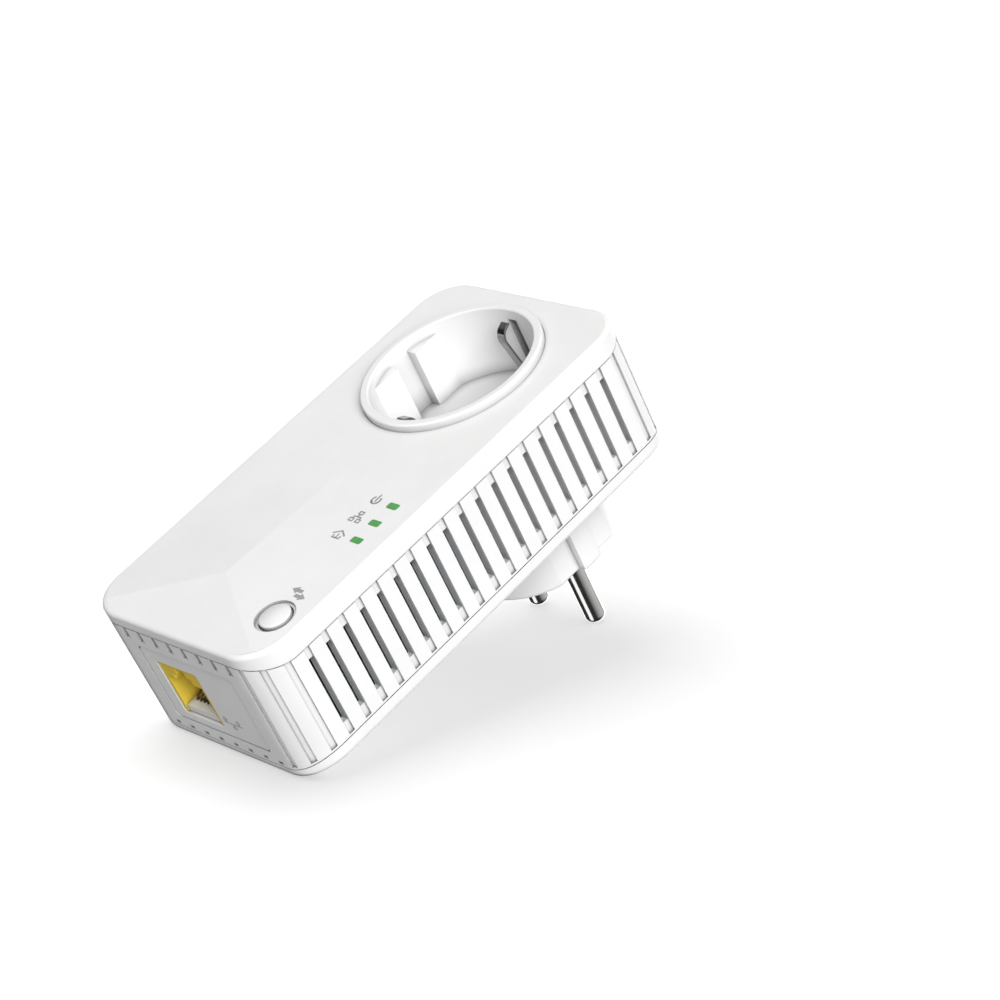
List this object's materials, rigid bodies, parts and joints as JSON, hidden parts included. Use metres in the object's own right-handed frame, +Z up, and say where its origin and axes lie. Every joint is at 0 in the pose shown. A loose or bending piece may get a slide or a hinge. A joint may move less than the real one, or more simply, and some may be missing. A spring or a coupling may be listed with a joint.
{
  "type": "powerline network adapter",
  "caption": "Plug-in powerline network adapter: tall rounded white housing with vent grooves, a pass-through earthed socket, a wall plug, status lights, a pairing button and a network port.",
  "frame": {"origin": "on the common axis of the wall plug and the pass-through socket, 2 mm in front of the housing's rear face (the face that lies against the wall outlet); the mount wall_plug is that point, and the mount rear_face is the resting plane", "axes": "+Z up in use (the network port is at the bottom), -Y out of the front face towards the user, +Y into the wall along the plug pins, +X to the right when looking at the front"},
  "size_m": [0.0596, 0.0726, 0.1169],
  "materials": {
    "cover_white": "satin moulded white",
    "band_white": "fine texture, off-white",
    "insert_white": "satin, slightly greyer white",
    "carrier_white": "natural nylon",
    "label_silver": "blank printed film",
    "jack_yellow": "glossy yellow",
    "tray_white": "natural nylon",
    "gold_contact": "gold flash",
    "button_white": "satin",
    "light_green": "lit green light guide",
    "led_white": "small lens",
    "shutter_dark": "dark grey",
    "spring_steel": "drawn wire",
    "nickel": "nickel plate",
    "brass": "stamped",
    "plug_white": "satin",
    "board_green": "solder mask on glass laminate",
    "ferrite": "sintered",
    "tape_yellow": "polyester tape",
    "can_dark": "shrink sleeve",
    "capacitor_box": "moulded box",
    "disc_blue": "dipped epoxy",
    "fuse_black": "moulded box",
    "chip_black": "moulded epoxy",
    "heatsink_alu": "extruded",
    "can_metal": "drawn can",
    "screw_steel": "zinc plate",
    "wire_brown": "insulation",
    "wire_blue": "insulation",
    "wire_green": "insulation"
  },
  "bodies": {
    "housing": {"board_header": "fuse_black", "board_screws": "screw_steel", "bulk_capacitors": "can_dark", "contact_carrier": "carrier_white", "coupling_transformer": "ferrite", "crystal": "can_metal", "earth_bridge": "brass", "earth_wire": "wire_green", "front_board": "board_green", "front_board_screws": "screw_steel", "front_cover": "cover_white", "fuse": "fuse_black", "heatsink": "heatsink_alu", "housing_screws": "screw_steel", "lan_magnetics": "chip_black", "light_guide": "light_green", "line_choke": "ferrite", "line_wire_left": "wire_brown", "line_wire_right": "wire_blue", "main_board": "board_green", "memory_chip": "chip_black", "modem_chip": "chip_black", "plug_body": "plug_white", "plug_earth_lower": "nickel", "plug_earth_upper": "nickel", "plug_pin_left": "nickel", "plug_pin_right": "nickel", "port_panel": "band_white", "rear_cover": "band_white", "rear_label": "label_silver", "rj45_contact_tray": "tray_white", "rj45_contacts": "gold_contact", "rj45_housing": "jack_yellow", "shutter_spring": "spring_steel", "small_capacitors": "can_dark", "socket_contact_left": "brass", "socket_contact_right": "brass", "socket_floor": "insert_white", "socket_well": "cover_white", "status_leds": "led_white", "tact_switch": "can_metal", "transformer_coil": "tape_yellow", "transformer_core": "ferrite", "varistor": "disc_blue", "vent_band": "band_white", "x_capacitor": "capacitor_box", "y_capacitors": "disc_blue"},
    "button": {"pair_button": "button_white"},
    "plunger": {"tact_plunger": "fuse_black"},
    "shutter": {"shutter_rotor": "shutter_dark"},
    "clip_upper": {"earth_clip_upper": "nickel"},
    "clip_lower": {"earth_clip_lower": "nickel"}
  },
  "joints": [
    {"name": "button_press", "type": "slide", "parent": "housing", "child": "button", "axis": [0, 1, 0], "range_m": [0, 0.0006], "stiffness_N_per_m": 300},
    {"name": "plunger_press", "type": "slide", "parent": "housing", "child": "plunger", "axis": [0, 1, 0], "range_m": [0, 0.0006]},
    {"name": "shutter_turn", "type": "hinge", "parent": "housing", "child": "shutter", "pos_m": [0, -0.0129, 0], "axis": [0, -1, 0], "range_deg": [0, 42], "stiffness_Nm_per_rad": 0.002, "deforming": ["shutter_spring"]},
    {"name": "earth_flex_upper", "type": "hinge", "parent": "housing", "child": "clip_upper", "pos_m": [0, -0.0068, 0.0188], "axis": [-1, 0, 0], "range_deg": [0, 3.5], "stiffness_Nm_per_rad": 2},
    {"name": "earth_flex_lower", "type": "hinge", "parent": "housing", "child": "clip_lower", "pos_m": [0, -0.0068, -0.0188], "axis": [1, 0, 0], "range_deg": [0, 3.5], "stiffness_Nm_per_rad": 2}
  ],
  "couplings": [
    {"joint": "plunger_press", "follows": "button_press", "ratio": 1}
  ]
}
